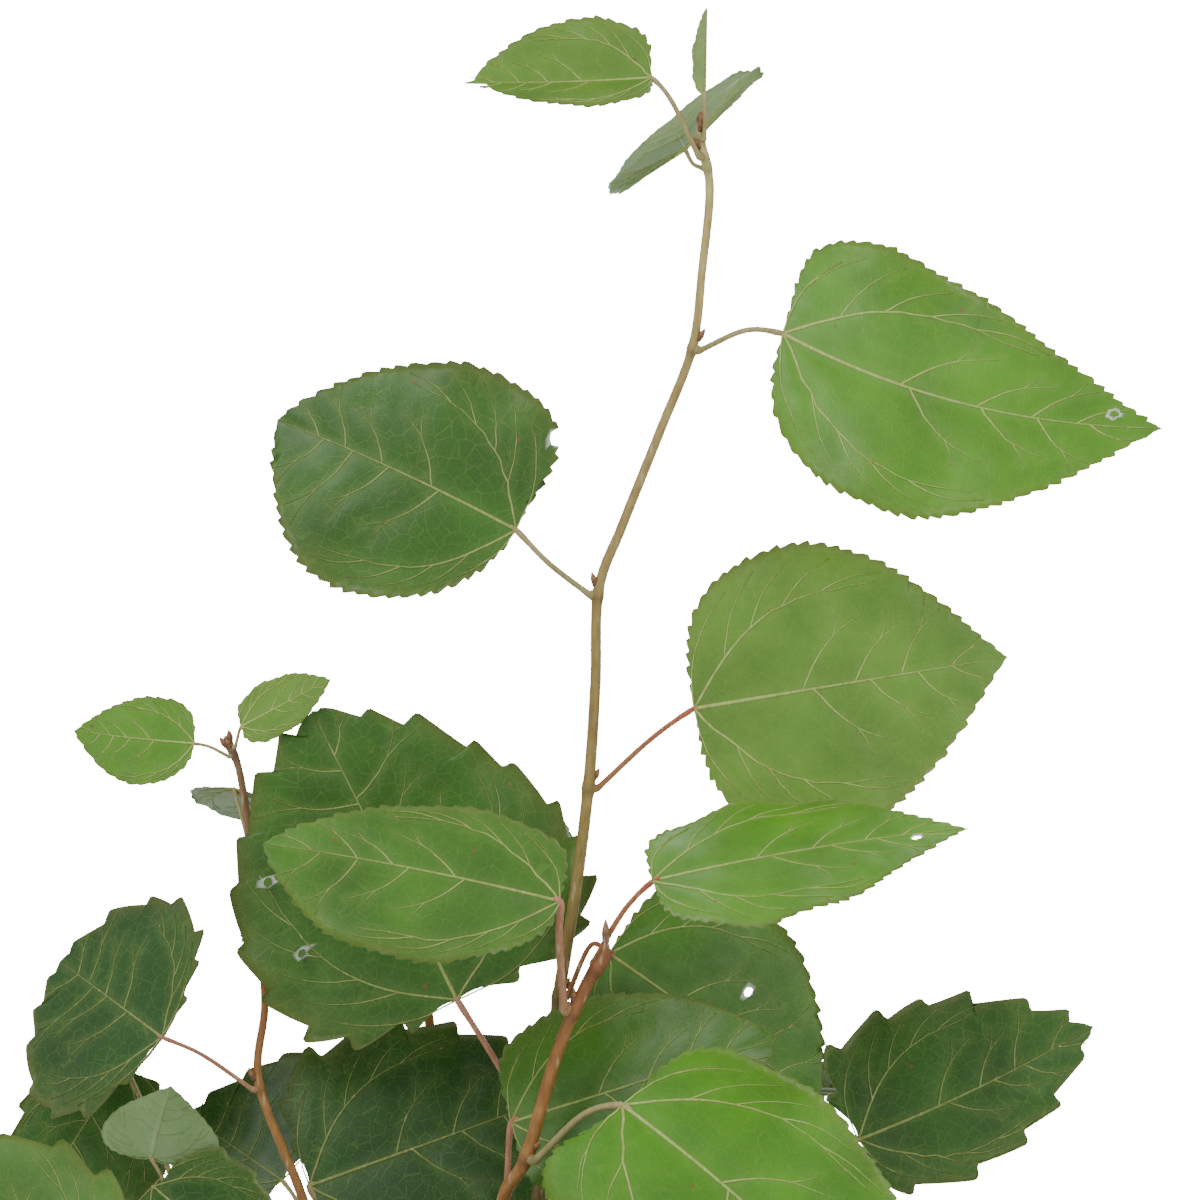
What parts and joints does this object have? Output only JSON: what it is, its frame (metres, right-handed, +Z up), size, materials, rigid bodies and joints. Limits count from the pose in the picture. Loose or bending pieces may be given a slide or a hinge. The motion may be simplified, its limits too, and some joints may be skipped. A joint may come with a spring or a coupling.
{
  "type": "young columnar aspen",
  "caption": "Young rooted aspen: a slender leading trunk with upright boughs from its foot and broad, toothed, long-stalked green leaves all round.",
  "frame": {"origin": "centre of the flat cut under the trunk, at ground level", "axes": "+Z up, -Y the pictured front, +X to the right seen from the front"},
  "size_m": [0.2291, 0.1489, 0.308],
  "materials": {
    "trunk_bark": "smooth young bark, satin",
    "shoot_bark": "smooth young bark, satin",
    "leaf_upper": "living leaf, soft sheen",
    "leaf_broad": "living leaf, soft sheen",
    "leaf_lower": "living leaf, soft sheen",
    "leaf_young": "young leaf, soft sheen",
    "leaf_inner": "living leaf, soft sheen"
  },
  "bodies": {
    "root": {"trunk": "trunk_bark", "bough_front": "shoot_bark", "bough_left": "shoot_bark", "bough_low_left": "shoot_bark", "bough_right": "shoot_bark", "bough_rear": "shoot_bark", "bough_rear_right": "shoot_bark", "trunk_leaf_01": "leaf_young", "trunk_leaf_02": "leaf_upper", "trunk_leaf_03": "leaf_upper", "trunk_leaf_04": "leaf_upper", "trunk_leaf_05": "leaf_broad", "trunk_leaf_06": "leaf_upper", "trunk_leaf_07": "leaf_broad", "trunk_leaf_08": "leaf_lower", "bough_front_leaf_01": "leaf_upper", "bough_front_leaf_02": "leaf_upper", "bough_front_leaf_03": "leaf_upper", "bough_front_leaf_04": "leaf_upper", "bough_left_leaf_01": "leaf_upper", "bough_left_leaf_02": "leaf_upper", "bough_left_leaf_03": "leaf_broad", "bough_left_leaf_04": "leaf_lower", "bough_left_leaf_05": "leaf_lower", "bough_left_leaf_06": "leaf_lower", "bough_low_left_leaf_01": "leaf_lower", "bough_low_left_leaf_02": "leaf_upper", "bough_low_left_leaf_03": "leaf_lower", "bough_low_left_leaf_04": "leaf_lower", "bough_right_leaf_01": "leaf_lower", "trunk_leaf_09": "leaf_inner", "trunk_leaf_10": "leaf_inner", "trunk_leaf_11": "leaf_inner", "bough_front_leaf_05": "leaf_inner", "bough_front_leaf_06": "leaf_inner", "bough_left_leaf_07": "leaf_inner", "bough_left_leaf_08": "leaf_inner", "bough_low_left_leaf_05": "leaf_inner", "bough_low_left_leaf_06": "leaf_inner", "bough_right_leaf_02": "leaf_inner", "bough_right_leaf_03": "leaf_inner", "bough_rear_leaf_01": "leaf_inner", "bough_rear_leaf_02": "leaf_inner", "bough_rear_leaf_03": "leaf_inner", "bough_rear_leaf_04": "leaf_inner", "bough_rear_leaf_05": "leaf_inner", "bough_rear_right_leaf_01": "leaf_inner", "bough_rear_right_leaf_02": "leaf_inner", "bough_rear_right_leaf_03": "leaf_inner"}
  },
  "joints": []
}
